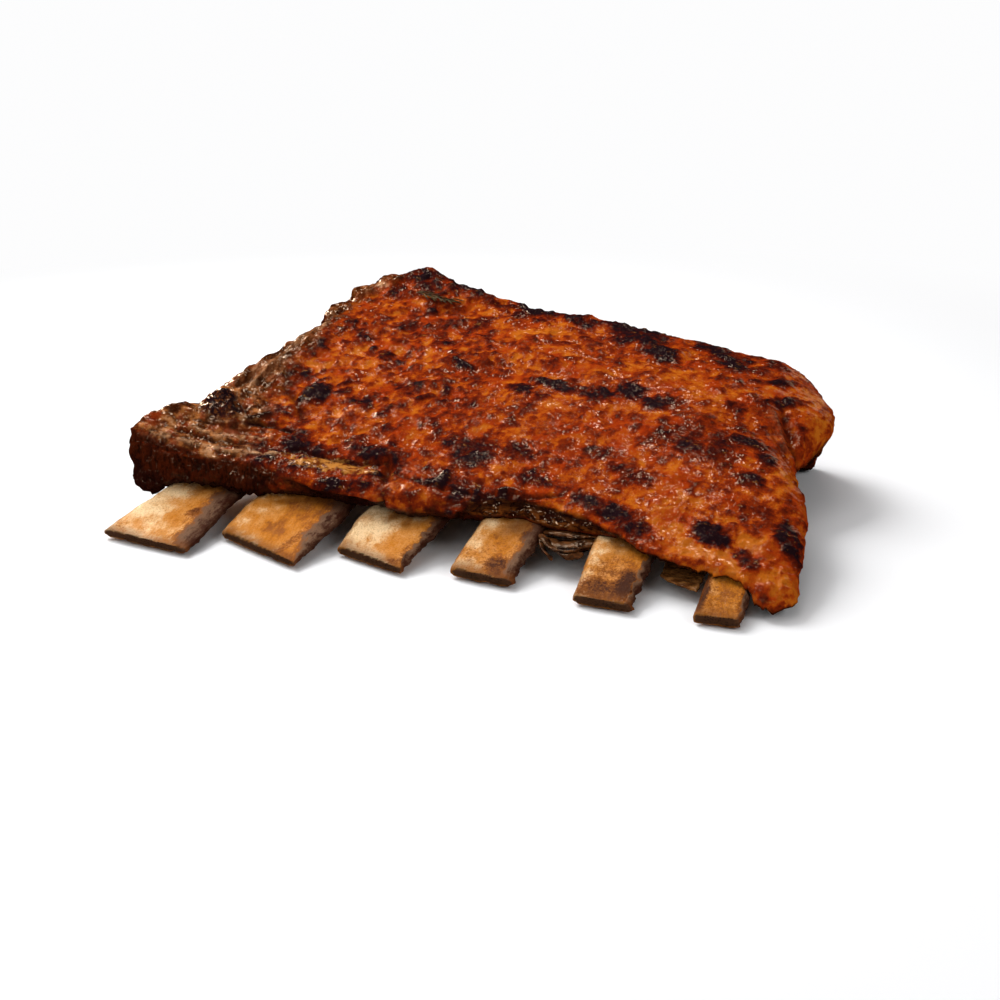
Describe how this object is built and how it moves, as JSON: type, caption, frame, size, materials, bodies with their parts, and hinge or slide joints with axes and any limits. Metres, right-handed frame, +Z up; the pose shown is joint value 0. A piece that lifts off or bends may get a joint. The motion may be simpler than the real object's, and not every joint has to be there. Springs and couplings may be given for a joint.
{
  "type": "roast beef rib rack",
  "caption": "Bone-in rack of roasted beef ribs: a crusted slab of rib meat lying over flat rib bones whose sawn ends stick out at the front, as prepared food.",
  "frame": {"origin": "on the resting plane, under the middle of the rack's box", "axes": "+X along the rack from the widest bone to the narrowest, +Y from the bare bone ends to the thick back, +Z up as it rests"},
  "size_m": [0.367, 0.2624, 0.105],
  "materials": {
    "roast_meat": "glossy browned crust with charred patches over fibrous brown lean",
    "rib_bone": "satin roasted bone, golden tan with grey-brown edges",
    "membrane": "thin shiny torn membrane"
  },
  "bodies": {
    "root": {"meat": "roast_meat", "rib_bone_1": "rib_bone", "rib_bone_2": "rib_bone", "rib_bone_3": "rib_bone", "rib_bone_4": "rib_bone", "rib_bone_5": "rib_bone", "rib_bone_6": "rib_bone", "membrane_shred": "membrane", "membrane_strip": "membrane"}
  },
  "joints": []
}
